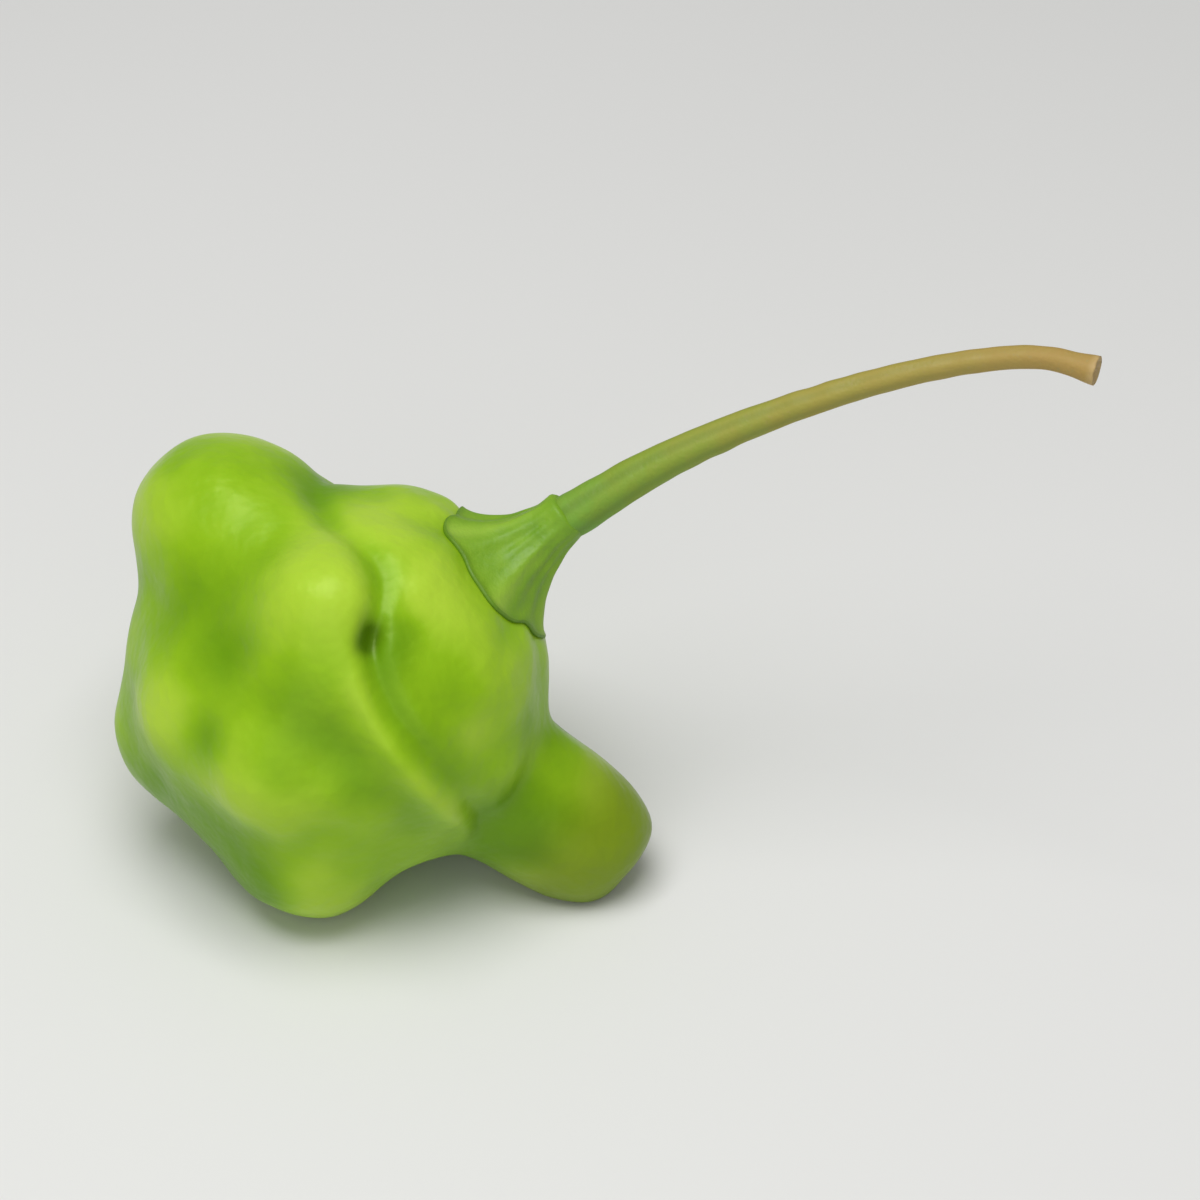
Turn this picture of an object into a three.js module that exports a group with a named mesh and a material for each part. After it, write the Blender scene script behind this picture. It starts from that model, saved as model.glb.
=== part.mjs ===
// A cachucha pepper as picked: one lumpy pod with a scalloped crown, a long nose on one side,
// a small calyx on the crown and a long thin stem. It lies on three low spots of the pod.
// Millimetres. The row frame has +Z up and +X along the longest extent; the fruit has its own
// frame, with Z along its axis towards the stem, X towards the nose, and its origin inside the pod.
import * as THREE from 'three';
import { mergeVertices } from 'three/addons/utils/BufferGeometryUtils.js';

// Pose of the fruit, in degrees: the axis rises by PITCH and is swung by YAW,
// and the nose is rolled by ROLL about the axis, away from the steepest way down.
const PITCH = 40;
const YAW = 14;
const ROLL = 37;
// Height of the fruit's inner origin above the surface. What would reach lower is flat.
const REST_HEIGHT = 16;

// Lobes of the pod. Each is [azimuth, rise, reach, half width, half height, bluntness]:
// its direction in degrees about the fruit's axis and above the fruit's equator, then its size.
const BRIM_LOBES = {
  upperLeft: [178, -3, 24.2, 10.8, 9.8, 2.4],
  knuckle: [-123, 20, 17.5, 7.6, 7.0, 2.2],
  ridge: [-64, 11, 15.2, 11.0, 4.5, 2.4],
  backLow: [60, 3, 17.6, 11.5, 8.5, 2.3],
  backHigh: [122, 3, 19.4, 11.5, 8.5, 2.3],
};
const BODY_LOBES = {
  leftSide: [180, -36, 18.8, 9.5, 9.5, 2.4],
  leftFoot: [-172, -66, 20.5, 8.0, 8.2, 2.3],
  leftBump: [-137, -43, 17.6, 7.2, 7.2, 2.2],
  frontBump: [-89, -32, 16.6, 7.4, 6.6, 2.2],
  bottomFoot: [-27, -57, 19.1, 8.0, 8.0, 2.7],
  backFoot: [98, -42, 20.0, 9.0, 8.6, 2.4],
  blossomEnd: [-20, -86, 16.8, 9.5, 9.5, 2.6],
};
const TOP_LOBES = {
  nose: [12, 11.2, 25.7, 6.4, 6.9, 3.8],
  shoulderLeft: [168, 56, 15.6, 7.0, 7.0, 2.4],
  shoulderFront: [-120, 50, 14.8, 8.0, 7.0, 2.3],
  shoulderRight: [-55, 46, 14.2, 7.0, 7.0, 2.3],
  shoulderBack: [90, 52, 14.6, 7.0, 7.0, 2.3],
};
// Squashed balls: the crown under the calyx, and the core that the body lobes grow from.
// Each is [radius, height, depth, bluntness], and its radius waves round the fruit's axis
// by [count, share, phase].
const CROWN = [12.2, 13.8, 9.0, 2.4];
const CROWN_WAVES = [[3, 0.035, 0.6], [5, 0.02, -1.0]];
const CORE = [14.3, 12.0, 15.8, 2.2];
const CORE_WAVES = [[1, 0.05, 3.0], [4, 0.02, 0.4], [7, 0.012, 1.0]];
// Shallow hollows, each [azimuth, rise, half width in degrees, depth]: beside the nose, below
// the knuckle, between the bumps, beside the upper left lobe and between the feet.
const HOLLOWS = [
  [20, 37, 8, 2.8],
  [-84, 5, 13, 0.9],
  [-121, -13, 10, 0.7],
  [-112, -30, 6, 0.6],
  [164, 29, 7, 1.0],
  [34, -54, 11, 1.0],
  [-8, -26, 11, 0.8],
  [-60, -66, 9, 0.4],
];
// How softly each group of lobes runs together.
const BRIM_BLEND = 1.4;
const BODY_BLEND = 1.7;
const TOP_BLEND = 0.7;
const VALLEY_BLEND = 1.3;
const CREASE_BLEND = 0.5;
const POD_RINGS = 38;
const POD_SPOKES = 72;

// Calyx: a thin cup on the crown that narrows to the stem's joint.
const JOINT_GAP = 0.3;
const CALYX_RIM_ANGLE = 22.5;
const CALYX_TEETH = 5;
const CALYX_TOOTH_SHARE = 0.07;
const CALYX_RIM_THICKNESS = 0.8;
const CALYX_HEIGHT = 7.2;
const CALYX_NECK_RADIUS = 2.0;
const CALYX_NARROWING = 1.8;
const CALYX_LIFT = 1.35;
const CALYX_RIB_SHARE = 0.05;
const CALYX_RINGS_UNDER = 4;
const CALYX_RINGS_OUTSIDE = 8;
const CALYX_SPOKES = 40;

// Stem: points of its middle line above the crown, in the fruit's frame, and its radii.
const STEM_LINE = [
  [0.2, 0, 7.2],
  [1.6, 0.2, 15.5],
  [4.2, 0.6, 24.4],
  [7.6, 0.8, 32.8],
  [11.4, 0.6, 39.9],
  [14.4, 0.2, 43.9],
  [17.6, -0.3, 46.3],
];
const STEM_BASE_RADIUS = 1.85;
const STEM_TIP_RADIUS = 0.9;
const STEM_TAPER = 2.4;
const STEM_KNOB = 0.25;
const STEM_KNOB_LENGTH = 0.035;
const STEM_SECTIONS = 26;
const STEM_SIDES = 12;

const { clamp, degToRad, radToDeg } = THREE.MathUtils;

/** Unit direction at an azimuth about Z and a rise above the equator, in radians. */
function direction(azimuth, rise) {
  const flat = Math.cos(rise);
  return new THREE.Vector3(flat * Math.cos(azimuth), flat * Math.sin(azimuth), Math.sin(rise));
}

/** Distance to a blunt finger's surface along a direction: |along|^p + |across|^p = 1. */
function lobeDistance(way, [azimuth, rise, reach, halfWidth, halfHeight, bluntness]) {
  const out = direction(degToRad(azimuth), degToRad(rise));
  const side = new THREE.Vector3(-Math.sin(degToRad(azimuth)), Math.cos(degToRad(azimuth)), 0);
  const up = new THREE.Vector3().crossVectors(out, side);
  const along = way.dot(out);
  if (along <= 0) return 0;
  const across = Math.hypot(way.dot(side) / halfWidth, way.dot(up) / halfHeight);
  return ((along / reach) ** bluntness + across ** bluntness) ** (-1 / bluntness);
}

/** Distance to a squashed ball: (flat / radius)^p + (z / height)^p = 1. */
function loafDistance(way, [radius, height, depth, bluntness], waves) {
  const azimuth = Math.atan2(way.y, way.x);
  const wave = ([count, share, phase]) => share * Math.cos(count * azimuth + phase);
  const swell = waves.reduce((sum, each) => sum + wave(each), 1);
  const flat = Math.hypot(way.x, way.y) / (radius * swell);
  const tall = Math.abs(way.z) / (way.z > 0 ? height : depth);
  return (flat ** bluntness + tall ** bluntness) ** (-1 / bluntness);
}

/** How far all the hollows sink the skin along a direction. */
function hollowDepth(way) {
  return HOLLOWS.reduce((sum, [azimuth, rise, halfWidth, depth]) => {
    const middle = direction(degToRad(azimuth), degToRad(rise));
    const angle = radToDeg(Math.acos(clamp(way.dot(middle), -1, 1)));
    return sum + depth * Math.exp(-((angle / halfWidth) ** 2));
  }, 0);
}

/** The largest of some distances, rounded over where two are nearly alike. */
function smoothMax(distances, softness) {
  const most = Math.max(...distances);
  const sum = distances.reduce((total, each) => total + Math.exp((each - most) / softness), 0);
  return most + softness * Math.log(sum);
}

/** Distance from the fruit's inner origin to the pod's skin. */
function podDistance(way) {
  const reach = (lobes) => Object.values(lobes).map((lobe) => lobeDistance(way, lobe));
  const brim = smoothMax(reach(BRIM_LOBES), BRIM_BLEND);
  const body = smoothMax([...reach(BODY_LOBES), loafDistance(way, CORE, CORE_WAVES)], BODY_BLEND);
  const top = smoothMax([...reach(TOP_LOBES), loafDistance(way, CROWN, CROWN_WAVES)], TOP_BLEND);
  const low = smoothMax([brim, body], VALLEY_BLEND);
  return smoothMax([low, top], CREASE_BLEND) - hollowDepth(way);
}

/** Closed body from a first pole, rings of equal count and a last pole, all seen from outside. */
function ringBody(firstPole, rings, lastPole) {
  const count = rings[0].length;
  const points = [firstPole, ...rings.flat(), lastPole];
  const last = points.length - 1;
  const faces = [];
  for (let j = 0; j < count; j += 1) {
    const k = (j + 1) % count;
    faces.push(0, 1 + j, 1 + k);
    faces.push(last, last - count + k, last - count + j);
    for (let i = 0; i < rings.length - 1; i += 1) {
      const upper = 1 + i * count;
      const lower = upper + count;
      faces.push(upper + j, lower + j, lower + k);
      faces.push(upper + j, lower + k, upper + k);
    }
  }
  const geometry = new THREE.BufferGeometry().setFromPoints(points);
  geometry.setIndex(faces);
  const merged = mergeVertices(geometry);
  merged.computeVertexNormals();
  return merged;
}

/** One ring of points, made from a function of the azimuth. */
function ring(count, pointAt) {
  return Array.from({ length: count }, (_, j) => pointAt((2 * Math.PI * j) / count));
}

/** The fruit's frame as a rotation: Z along the axis, X towards the nose. */
function fruitRotation() {
  const axis = direction(degToRad(YAW), degToRad(PITCH));
  const downhill = direction(degToRad(YAW), degToRad(PITCH - 90));
  const nose = downhill.applyAxisAngle(axis, -degToRad(ROLL));
  const side = new THREE.Vector3().crossVectors(axis, nose);
  return new THREE.Matrix4().makeBasis(nose, side, axis);
}

/** The pod, with what would sink below the surface pressed flat. */
function podGeometry(up) {
  const skin = (azimuth, rise) => {
    const way = direction(azimuth, rise);
    const point = way.clone().multiplyScalar(podDistance(way));
    const sunk = point.dot(up) + REST_HEIGHT;
    return sunk < 0 ? point.addScaledVector(up, -sunk) : point;
  };
  const rings = [];
  for (let i = 1; i < POD_RINGS; i += 1) {
    const rise = Math.PI * (0.5 - i / POD_RINGS);
    rings.push(ring(POD_SPOKES, (azimuth) => skin(azimuth, rise)));
  }
  return ringBody(skin(0, Math.PI / 2), rings, skin(0, -Math.PI / 2));
}

/** The calyx: its underside follows the crown, and its outside narrows upwards to the neck. */
function calyxGeometry(seat) {
  const tooth = (azimuth) => Math.cos(CALYX_TEETH * azimuth);
  const rimAngle = (azimuth) => degToRad(CALYX_RIM_ANGLE) * (1 + CALYX_TOOTH_SHARE * tooth(azimuth));
  const above = (azimuth, angle, clearance) => {
    const way = direction(azimuth, Math.PI / 2 - angle);
    return way.multiplyScalar(podDistance(way) + clearance);
  };
  const top = seat + CALYX_HEIGHT;
  const outside = (azimuth, share) => {
    const rim = above(azimuth, rimAngle(azimuth), JOINT_GAP + CALYX_RIM_THICKNESS);
    const narrowing = (1 - share) ** CALYX_NARROWING;
    const spread = Math.hypot(rim.x, rim.y) - CALYX_NECK_RADIUS;
    const rib = 1 + CALYX_RIB_SHARE * tooth(azimuth) * share * (1 - share);
    const radius = (CALYX_NECK_RADIUS + spread * narrowing) * rib;
    const height = rim.z + (top - rim.z) * share ** CALYX_LIFT;
    return new THREE.Vector3(radius * Math.cos(azimuth), radius * Math.sin(azimuth), height);
  };
  const rings = [];
  for (let i = CALYX_RINGS_OUTSIDE; i >= 0; i -= 1) {
    rings.push(ring(CALYX_SPOKES, (azimuth) => outside(azimuth, i / CALYX_RINGS_OUTSIDE)));
  }
  for (let i = CALYX_RINGS_UNDER; i > 0; i -= 1) {
    const share = i / CALYX_RINGS_UNDER;
    rings.push(ring(CALYX_SPOKES, (azimuth) => above(azimuth, share * rimAngle(azimuth), JOINT_GAP)));
  }
  return ringBody(new THREE.Vector3(0, 0, top), rings, above(0, 0, JOINT_GAP));
}

/** The stem's radius at a share of its length: it tapers fast, then ends in a small knob. */
function stemRadius(share) {
  const taper = (STEM_BASE_RADIUS - STEM_TIP_RADIUS) * (1 - share) ** STEM_TAPER;
  const knob = STEM_KNOB * Math.exp(-(((1 - share) / STEM_KNOB_LENGTH) ** 2));
  return STEM_TIP_RADIUS + taper + knob;
}

/** The stem: round sections square to its middle line, with a cut face at the far end. */
function stemGeometry(seat) {
  const points = STEM_LINE.map(([x, y, z]) => new THREE.Vector3(x, y, z + seat + JOINT_GAP));
  const line = new THREE.CatmullRomCurve3(points, false, 'centripetal');
  const frames = line.computeFrenetFrames(STEM_SECTIONS, false);
  const rings = [];
  for (let i = STEM_SECTIONS; i >= 0; i -= 1) {
    const share = i / STEM_SECTIONS;
    const middle = line.getPointAt(share);
    const radius = stemRadius(share);
    const side = frames.normals[i];
    const other = frames.binormals[i];
    rings.push(ring(STEM_SIDES, (turn) => middle.clone()
      .addScaledVector(side, radius * Math.cos(turn))
      .addScaledVector(other, radius * Math.sin(turn))));
  }
  return ringBody(line.getPointAt(1), rings, line.getPointAt(0));
}

/** A named piece with its own material. */
function piece(name, geometry, color, roughness) {
  const mesh = new THREE.Mesh(geometry, new THREE.MeshStandardMaterial({ color, roughness, metalness: 0 }));
  mesh.name = name;
  return mesh;
}

const turn = fruitRotation();
const upInFruit = new THREE.Vector3(0, 0, 1).transformDirection(turn.clone().invert());
const crownSeat = podDistance(new THREE.Vector3(0, 0, 1));

const fruit = new THREE.Group();
fruit.quaternion.setFromRotationMatrix(turn);
fruit.position.z = REST_HEIGHT;
fruit.add(piece('pod', podGeometry(upInFruit), 0x8fbf2e, 0.35));
fruit.add(piece('calyx', calyxGeometry(crownSeat), 0x6f9c2b, 0.55));
fruit.add(piece('stem', stemGeometry(crownSeat), 0x84973c, 0.6));

// The row's origin is on the surface, under the middle of the whole pepper's box.
const pepper = new THREE.Group();
pepper.add(fruit);
const middle = new THREE.Box3().setFromObject(pepper, true).getCenter(new THREE.Vector3());
fruit.position.x -= middle.x;
fruit.position.y -= middle.y;

export default pepper;
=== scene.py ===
import math

import bpy
import numpy as np
from bpy.props import FloatProperty, FloatVectorProperty, IntProperty, PointerProperty
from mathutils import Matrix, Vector


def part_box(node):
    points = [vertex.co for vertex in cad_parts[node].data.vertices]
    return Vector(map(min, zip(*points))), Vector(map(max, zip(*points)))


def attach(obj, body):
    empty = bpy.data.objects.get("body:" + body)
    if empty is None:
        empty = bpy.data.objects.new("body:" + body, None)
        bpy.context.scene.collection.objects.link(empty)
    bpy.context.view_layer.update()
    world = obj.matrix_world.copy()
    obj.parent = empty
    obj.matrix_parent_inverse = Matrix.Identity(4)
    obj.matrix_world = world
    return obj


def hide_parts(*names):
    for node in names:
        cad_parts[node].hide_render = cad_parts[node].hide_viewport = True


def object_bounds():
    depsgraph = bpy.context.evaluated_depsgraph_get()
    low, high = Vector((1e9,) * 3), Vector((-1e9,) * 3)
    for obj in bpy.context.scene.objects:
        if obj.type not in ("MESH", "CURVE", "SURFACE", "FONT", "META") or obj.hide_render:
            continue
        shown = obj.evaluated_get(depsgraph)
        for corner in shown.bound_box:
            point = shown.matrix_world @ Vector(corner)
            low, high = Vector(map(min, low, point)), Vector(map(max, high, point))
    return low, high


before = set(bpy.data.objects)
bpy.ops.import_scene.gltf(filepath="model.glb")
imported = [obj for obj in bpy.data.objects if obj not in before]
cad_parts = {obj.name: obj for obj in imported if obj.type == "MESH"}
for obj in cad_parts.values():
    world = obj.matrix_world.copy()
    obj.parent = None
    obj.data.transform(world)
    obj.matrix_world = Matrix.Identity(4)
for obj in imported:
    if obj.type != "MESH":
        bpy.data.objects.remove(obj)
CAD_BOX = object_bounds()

bl_info = {
    "name": "Cachucha pepper",
    "version": (1, 0, 0),
    "blender": (4, 5, 0),
    "location": "View3D > Sidebar > Pepper",
    "description": "Grows a picked cachucha pepper with its calyx and stem, on a plain stage",
    "category": "Add Mesh",
}

# Shapes are worked out in millimetres in the fruit's own frame: Z along its axis towards the
# stem, X towards the nose, origin inside the pod. Meshes are in metres in the row frame.
MM = 0.001
BODY = "root"
# The floor lies this far below the lowest point, so that the two surfaces don't flicker.
FLOOR_CLEARANCE = 0.01

# Pose of the fruit in degrees, and the height of its origin above the surface.
PITCH = 40.0
YAW = 14.0
ROLL = 37.0
REST_HEIGHT = 16.0

# Lobes of the pod: azimuth and rise in degrees, then reach, half width, half height, bluntness.
BRIM_LOBES = {
    "upper left": (178, -3, 24.2, 10.8, 9.8, 2.4),
    "knuckle": (-123, 20, 17.5, 7.6, 7.0, 2.2),
    "ridge": (-64, 11, 15.2, 11.0, 4.5, 2.4),
    "back low": (60, 3, 17.6, 11.5, 8.5, 2.3),
    "back high": (122, 3, 19.4, 11.5, 8.5, 2.3),
}
BODY_LOBES = {
    "left side": (180, -36, 18.8, 9.5, 9.5, 2.4),
    "left foot": (-172, -66, 20.5, 8.0, 8.2, 2.3),
    "left bump": (-137, -43, 17.6, 7.2, 7.2, 2.2),
    "front bump": (-89, -32, 16.6, 7.4, 6.6, 2.2),
    "bottom foot": (-27, -57, 19.1, 8.0, 8.0, 2.7),
    "back foot": (98, -42, 20.0, 9.0, 8.6, 2.4),
    "blossom end": (-20, -86, 16.8, 9.5, 9.5, 2.6),
}
TOP_LOBES = {
    "nose": (12, 11.2, 25.7, 6.4, 6.9, 3.8),
    "shoulder left": (168, 56, 15.6, 7.0, 7.0, 2.4),
    "shoulder front": (-120, 50, 14.8, 8.0, 7.0, 2.3),
    "shoulder right": (-55, 46, 14.2, 7.0, 7.0, 2.3),
    "shoulder back": (90, 52, 14.6, 7.0, 7.0, 2.3),
}
# Squashed balls: radius, height above, depth below and bluntness. The waves of their radius:
# count, share and phase.
CROWN = (12.2, 13.8, 9.0, 2.4)
CROWN_WAVES = ((3, 0.035, 0.6), (5, 0.02, -1.0))
CORE = (14.3, 12.0, 15.8, 2.2)
CORE_WAVES = ((1, 0.05, 3.0), (4, 0.02, 0.4), (7, 0.012, 1.0))
# Hollows: azimuth, rise and half width in degrees, then depth.
HOLLOWS = (
    (20, 37, 8.0, 2.8),
    (-84, 5, 13.0, 0.9),
    (-121, -13, 10.0, 0.7),
    (-112, -30, 6.0, 0.6),
    (164, 29, 7.0, 1.0),
    (34, -54, 11.0, 1.0),
    (-8, -26, 11.0, 0.8),
    (-60, -66, 9.0, 0.4),
)
LOBE_BACK = 3.0
# How softly neighbouring forms run together, in millimetres.
BRIM_BLEND = 1.4
BODY_BLEND = 1.7
TOP_BLEND = 0.7
VALLEY_BLEND = 1.3
CREASE_BLEND = 0.5
# The finished skin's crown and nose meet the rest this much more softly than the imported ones.
SKIN_SOFTER = 0.5
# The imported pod's own grid, which places the fruit under its box.
CAD_RINGS = 38
CAD_SPOKES = 72

# The crease under the crown, once round the fruit: azimuth, rise, share of its full depth, and
# share of the lip along its lower side.
CREASE_LINE = (
    (-180, 27, 0.8, 0.0), (-172, 26, 0.9, 0.0), (-150, 31, 0.8, 0.0), (-132, 37, 0.6, 0.0),
    (-117, 39, 0.6, 0.0), (-106, 32, 0.7, 0.2), (-97, 23, 0.8, 0.5), (-82, 17, 0.9, 0.9),
    (-62, 14, 1.0, 1.0), (-34, 10, 0.9, 0.6), (-18, 6, 0.5, 0.1), (-6, -2, 0.2, 0.0),
    (12, -14, 0.1, 0.0), (30, 2, 0.4, 0.0), (50, 18, 0.7, 0.0), (90, 27, 0.6, 0.0),
    (125, 28, 0.7, 0.0), (155, 28, 0.8, 0.0),
)
CREASE_HALF_WIDTH = 4.4
# The line is rounded by a running mean that reaches this many degrees each way, this many times.
CREASE_MEAN_REACH = 5
CREASE_MEAN_PASSES = 3
# The lip lies this many degrees below the line, and the shaded strip this many above it.
LIP_OFFSET = 6.5
LIP_HALF_WIDTH = 3.6
SHADE_OFFSET = 4.5
SHADE_HALF_WIDTH = 6.5
SHADE_SHARE = 0.28
# Small dents, and swellings where the depth is negative: azimuth, rise, half width in degrees,
# depth.
DENTS = (
    (-136, -13, 10.0, 0.2),
    (-101, -9, 10.0, 0.3),
    (-78, -5, 9.0, 0.25),
    (-58, 0, 8.0, 0.15),
    (-112, -30, 6.5, -0.3),
    (-121, -13, 8.0, -0.2),
    (-116, 30, 7.0, -0.4),
    (-38, 3, 10.0, -0.35),
    (-22, 22, 8.0, -0.4),
    (-62, -24, 7.0, 0.3),
    (-10, 52, 8.0, 0.3),
    (140, 42, 7.0, 0.35),
    (60, -70, 8.0, 0.4),
    (140, -66, 8.0, 0.5),
    (92, -10, 8.0, 0.5),
    (150, -22, 7.0, 0.5),
    (25, -22, 8.0, 0.4),
    (60, 40, 7.0, 0.3),
)
# The pit on the crease is long: two round pits side by side, darkened with painted shade.
PITS = (
    (-102, 27.5, 4.0, 0.45),
    (-99, 23.0, 4.0, 0.45),
)
BLOSSOM_SCAR = (-30, -84, 3.0, 0.5)
NOSE_TIP = (12, 11.2)
# Patches of painted shade (deeper skin), and of painted light (paler skin) where the share is
# negative, partly the skin's own uneven tone: azimuth, rise, half width in degrees, share.
SHADE_AND_LIGHT_PATCHES = (
    (-147, -12, 10.0, 0.2),
    (-126, -14, 10.0, 0.2),
    (-101, -4, 10.0, 0.3),
    (-86, -3, 9.0, 0.2),
    (-67, -7, 9.0, 0.25),
    (-50, 0, 8.0, 0.2),
    (-108, -33, 7.0, 0.35),
    (-88, -22, 8.0, 0.2),
    (-97, 10, 7.0, 0.15),
    (-66, 8, 7.0, 0.12),
    (-80, -68, 18.0, 0.7),
    (-150, -72, 14.0, 0.4),
    (-19, 14, 8.0, 0.2),
    (-10, 26, 8.0, -0.15),
    (-173, 5, 14.0, 0.5),
    (-60, -60, 10.0, 0.4),
    (-7, 7, 7.0, 0.5),
    (-3, 18, 6.0, 0.35),
    (-22, 40, 8.0, 0.25),
    (-72, 36, 9.0, 0.15),
    (-48, -52, 8.0, 0.4),
    (-38, -3, 9.0, 0.2),
    (-95, 36, 6.0, 0.35),
    (-91, 28, 6.0, 0.25),
    (-50, 19, 8.0, 0.15),
    (-128, -38, 9.0, -0.25),
    (-98, -40, 9.0, -0.15),
    (-48, -38, 10.0, -0.2),
    (-150, 40, 14.0, -0.5),
    (-106, 48, 14.0, -0.3),
    (-48, 26, 9.0, -0.35),
)

# Skin is a fold where it lies below its own blurred self, and folds are given painted shade: the
# millimetres that count as one whole fold, the blur's share of the way round and its passes, then
# the painted shade of level skin and the share of painted shade that a fold adds.
FOLD_HEIGHT = 0.9
FOLD_BLUR_PARTS = 40
FOLD_BLUR_PASSES = 3
LEVEL_SHADE = 0.42
FOLD_SHARE = 0.3
PIT_SHARPNESS = 1.5
SCAR_SHARPNESS = 3
# The nose turns olive from this distance in millimetres, over this length, round its tip.
OLIVE_START = 13.5
OLIVE_LENGTH = 10.0
OLIVE_GAIN = 1.25
OLIVE_HALF_WIDTH = 28.0
# Waves of a ripple: length in millimetres, count and seed. The skin's also have their share of
# the ripple's height. Each wave's length is spread between these shares of the stated one.
RIPPLE_SPREAD = (0.75, 1.3)
SKIN_RIPPLES = (
    (9.0, 12, 3, 1.0),
    (3.4, 16, 4, 0.22),
)
CALYX_RIPPLE = (2.4, 12, 8)
STEM_RIPPLE = (2.6, 14, 12)
# Puckers round the calyx: how high on the fruit and how wide their band is, in degrees, how many
# there are, and how unevenly they are spaced.
PUCKER_RISE = 62
PUCKER_HALF_WIDTH = 12
PUCKER_COUNT = 9
PUCKER_SWAY = 1.4

# How far down the fruit the calyx reaches, in degrees from the axis, and its teeth.
CALYX_RIM_ANGLE = 22.5
CALYX_TEETH = 5
CALYX_TOOTH_SHARE = 0.07
CALYX_TOOTH_SWAY = 0.25
# Smaller waves of the rim, and the fine ribs between the teeth's: count, share and phase.
CALYX_RIM_WAVES = ((13, 0.012, 0.0), (3, 0.02, 1.0))
CALYX_FINE_RIBS = (15, 0.4, 1.0)
CALYX_HEIGHT = 7.2
CALYX_NECK_RADIUS = 2.0
CALYX_SHOULDER = 0.45
CALYX_SHOULDER_BLUNTNESS = 6
CALYX_NARROWING = 1.8
CALYX_LIFT = 1.35
# Its underside's distance from the skin: a hair inside.
CALYX_SINK = -0.1
CALYX_RIPPLE_SIZE = (0.04, 0.04, 0.016)
# Rows of points, each as first, last and count: shares of the neck's radius, degrees round the
# rim's edge, and shares of the rim's angle underneath.
CALYX_TOP_ROWS = (0.15, 0.98, 9)
CALYX_RIM_ROWS = (75, -75, 9)
CALYX_UNDER_ROWS = (1, 0.1, 10)
# Strength of the rim's painted shade and of the ribs' own colour, and how far up the rim's
# painted shade reaches.
CALYX_RIM_SHADE_STRENGTH = 0.5
CALYX_RIM_SHADE_HEIGHT = 0.06
CALYX_RIB_STRENGTH = 0.7

STEM_LINE = (
    (0.15, 0.0, 6.9),
    (1.6, 0.2, 15.5),
    (4.2, 0.6, 24.4),
    (7.6, 0.8, 32.8),
    (11.4, 0.6, 39.9),
    (14.4, 0.2, 43.9),
    (17.6, -0.3, 46.3),
)
STEM_CURVE_STEPS = 60
STEM_BASE_RADIUS = 1.85
STEM_TIP_RADIUS = 0.9
STEM_TAPER = 2.4
# The knob at the cut and the pinch at the foot: height in millimetres, and share of the length.
STEM_KNOB = 0.25
STEM_KNOB_LENGTH = 0.035
STEM_PINCH = 0.1
STEM_PINCH_LENGTH = 0.012
# The ribs: their count, how far they turn over the length, how much and how often they sway, and
# how much of their height they lose by the tip.
STEM_RIBS = 5
STEM_RIB_TURN = 2.2
STEM_RIB_SWAY = 0.5
STEM_RIB_SWAYS = 9
STEM_RIB_FADE = 0.5
STEM_RIPPLE_HEIGHT = 0.02
STEM_GROOVE_STRENGTH = 0.35
# The cut face: its rows as shares of the radius, the depth of its hollow, the height of its
# ridges, how many there are and how they lean, and where its colour starts along the stem.
STEM_CUT_ROWS = (0.12, 0.94, 8)
STEM_CUT_HOLLOW = 0.22
STEM_CUT_RIDGE = 0.04
STEM_CUT_RIDGES = 7
STEM_CUT_LEAN = 9
STEM_CUT_START = 0.985

# Colours that no setting holds.
# Painted shade in the pits.
PIT_SHADE_COLOUR = "4A6E03"
SCAR_COLOUR = "6E5A2C"
SHEEN_COLOUR = "E4F2A0"
FLECK_COLOUR = "9C8B52"
GROOVE_COLOUR = "4F6A1E"
FLOOR_SHADE_COLOUR = "DADAD8"
ROOM_COLOUR = "FFFFFF"

# Lights and the camera's range, in metres.
KEY_LIGHT_PLACE = (-0.05, -0.08, 0.44)
FILL_LIGHT_PLACE = (-0.1, -0.45, 0.16)
FILL_LIGHT_SIZE = 0.5
CAMERA_NEAR = 0.01
CAMERA_FAR = 10

# The Mix node has sockets for each kind of value, so those for colours go by their number.
MIX_COLOURS = {"data_type": "RGBA"}
MIX_SHARE = 0
MIX_UNDER = 6
MIX_OVER = 7
MIX_RESULT = 2
SMOOTH_RANGE = {"interpolation_type": "SMOOTHSTEP"}


def to_linear(colour):
    """Linear red, green and blue, and an alpha of 1, from an sRGB hex colour."""
    steps = np.array([int(colour[i:i + 2], 16) for i in (0, 2, 4)]) / 255
    linear = np.where(steps <= 0.04045, steps / 12.92, ((steps + 0.055) / 1.055) ** 2.4)
    return (*linear.tolist(), 1.0)


def way(azimuth, rise):
    """Unit directions at an azimuth about Z and a rise above the equator, in degrees."""
    a, b = np.broadcast_arrays(np.radians(azimuth), np.radians(rise))
    return np.stack([np.cos(a) * np.cos(b), np.sin(a) * np.cos(b), np.sin(b)], -1)


def lobe_distance(ways, lobe):
    """Distance to a blunt finger: (along / reach)^p + (across / half size)^p = 1, with a short
    rounded back behind the fruit's origin."""
    azimuth, rise, reach, half_width, half_height, bluntness = lobe
    out = way(azimuth, rise)
    side = way(azimuth + 90, 0)
    up = np.cross(out, side)
    forward = ways @ out
    along = np.where(forward > 0, forward / reach, -forward / LOBE_BACK)
    across = np.hypot(ways @ side / half_width, ways @ up / half_height)
    return (along ** bluntness + across ** bluntness) ** (-1 / bluntness)


def loaf_distance(ways, loaf, waves):
    """Distance to a ball squashed along Z, (flat / radius)^p + (z / height)^p = 1, whose radius
    waves round the axis and whose height differs above and below."""
    radius, height, depth, bluntness = loaf
    azimuth = np.arctan2(ways[..., 1], ways[..., 0])
    swell = sum(share * np.cos(count * azimuth + phase) for count, share, phase in waves)
    flat = np.hypot(ways[..., 0], ways[..., 1]) / (radius * (1 + swell))
    tall = np.abs(ways[..., 2]) / np.where(ways[..., 2] > 0, height, depth)
    return (flat ** bluntness + tall ** bluntness) ** (-1 / bluntness)


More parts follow.
